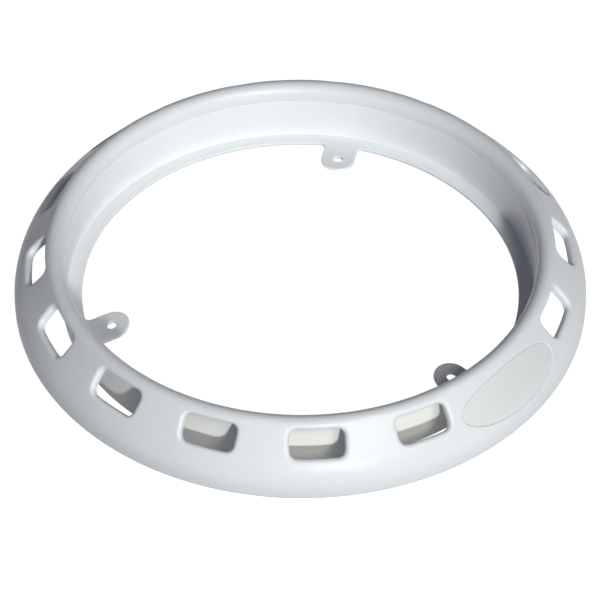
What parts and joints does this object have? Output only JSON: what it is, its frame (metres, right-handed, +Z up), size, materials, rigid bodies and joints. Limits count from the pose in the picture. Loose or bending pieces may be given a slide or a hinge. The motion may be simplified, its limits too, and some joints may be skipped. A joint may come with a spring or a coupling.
{
  "type": "bucket base ring",
  "caption": "Soft round base ring for the foot of a bucket, with a windowed sloping skirt, a blank oval panel, an inner collar with a ledge, and flexing inward screw tabs.",
  "frame": {"origin": "on the ring's axis, in the plane of its flat underside", "axes": "+Z up along the ring's axis; the blank oval panel and the front screw tab are on the -Y side; +X is to the right seen from there"},
  "size_m": [0.3252, 0.3252, 0.0374],
  "materials": {
    "skirt_vinyl": "satin, faint moulded grain",
    "collar_vinyl": "satin, faint drag marks down the wall",
    "panel_vinyl": "smooth satin",
    "tab_vinyl": "satin, fine speckle"
  },
  "bodies": {
    "ring": {"outer_skirt": "skirt_vinyl", "inner_collar": "collar_vinyl", "badge_panel": "panel_vinyl"},
    "front_tab": {"front_screw_tab": "tab_vinyl"},
    "right_tab": {"right_screw_tab": "tab_vinyl"},
    "left_tab": {"left_screw_tab": "tab_vinyl"}
  },
  "joints": [
    {"name": "front_tab_flex", "type": "hinge", "parent": "ring", "child": "front_tab", "pos_m": [0, -0.1249, 0.001], "axis": [1, 0, 0], "range_deg": [0, 30], "stiffness_Nm_per_rad": 0.03},
    {"name": "right_tab_flex", "type": "hinge", "parent": "ring", "child": "right_tab", "pos_m": [0.10817, 0.06245, 0.001], "axis": [-0.5, 0.866, 0], "range_deg": [0, 30], "stiffness_Nm_per_rad": 0.03},
    {"name": "left_tab_flex", "type": "hinge", "parent": "ring", "child": "left_tab", "pos_m": [-0.10817, 0.06245, 0.001], "axis": [-0.5, -0.866, 0], "range_deg": [0, 30], "stiffness_Nm_per_rad": 0.03}
  ]
}
